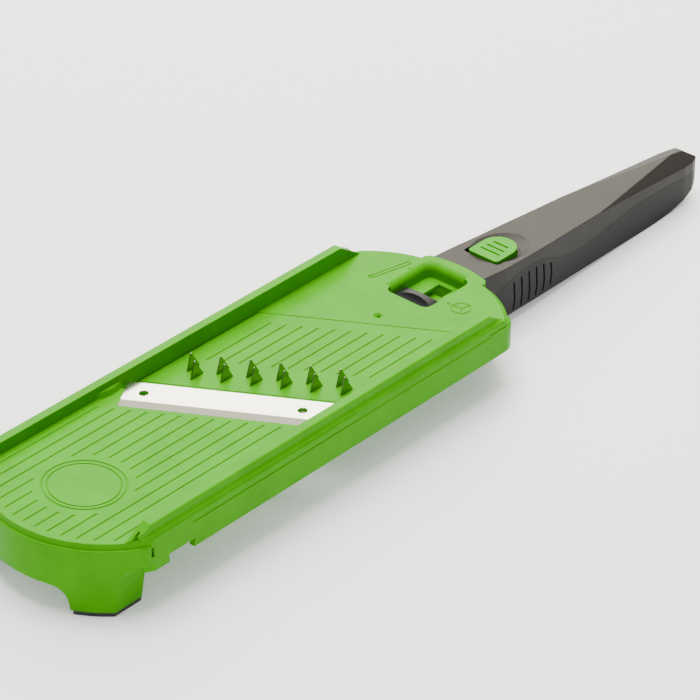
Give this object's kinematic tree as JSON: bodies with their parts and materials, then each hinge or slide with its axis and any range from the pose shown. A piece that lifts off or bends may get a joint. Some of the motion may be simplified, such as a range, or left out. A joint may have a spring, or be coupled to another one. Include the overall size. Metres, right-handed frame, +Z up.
{
  "type": "mandoline slicer",
  "caption": "Flat hand-held food slicer with raised rails, slanted blade, two rows of upright fins, a thickness selector and a removable grip.",
  "frame": {"origin": "centre of the footprint, on the table that the slicer rests on", "axes": "+X from the curved foot end to the handle butt, +Y to the left rail seen from the foot end looking to the handle, +Z up"},
  "size_m": [0.397, 0.0854, 0.0361],
  "materials": {
    "green_plastic": "glossy injection-moulded",
    "blade_steel": "fine ground",
    "screw_steel": "plain",
    "dark_plastic": "satin",
    "grey_plastic": "satin",
    "soft_grip": "soft-touch",
    "black_rubber": "matt"
  },
  "bodies": {
    "frame": {"body": "green_plastic", "main_blade": "blade_steel", "foot_pad_left": "black_rubber", "foot_pad_right": "black_rubber", "slider_guide_plate": "green_plastic", "guide_plate_screws": "screw_steel", "detent_spring": "screw_steel", "latch_tongue": "green_plastic"},
    "ramp": {"ramp_plate": "green_plastic", "rear_fin_comb": "blade_steel", "front_fin_comb": "blade_steel", "comb_retainer": "green_plastic", "retainer_screws": "screw_steel"},
    "slider": {"selector_slider": "dark_plastic"},
    "grip": {"handle_upper_shell": "grey_plastic", "handle_lower_shell": "soft_grip", "handle_screws": "screw_steel", "button_cage": "grey_plastic", "button_spring": "screw_steel"},
    "button": {"release_button": "green_plastic"}
  },
  "joints": [
    {"name": "selector_slide", "type": "slide", "parent": "frame", "child": "slider", "axis": [1, 0, 0], "range_m": [0, 0.01], "deforming": ["detent_spring"]},
    {"name": "ramp_tilt", "type": "hinge", "parent": "frame", "child": "ramp", "pos_m": [-0.011, 0, 0.0274], "axis": [0.515, -0.8572, 0], "range_deg": [0, 2.6]},
    {"name": "handle_release", "type": "slide", "parent": "frame", "child": "grip", "axis": [1, 0, 0], "range_m": [0, 0.065]},
    {"name": "button_press", "type": "slide", "parent": "grip", "child": "button", "axis": [0, 0, -1], "range_m": [0, 0.0016], "stiffness_N_per_m": 400, "springref_m": -0.0005, "deforming": ["button_spring", "latch_tongue"]}
  ],
  "couplings": [
    {"joint": "ramp_tilt", "follows": "selector_slide", "rad_per_m": 4.5379}
  ]
}
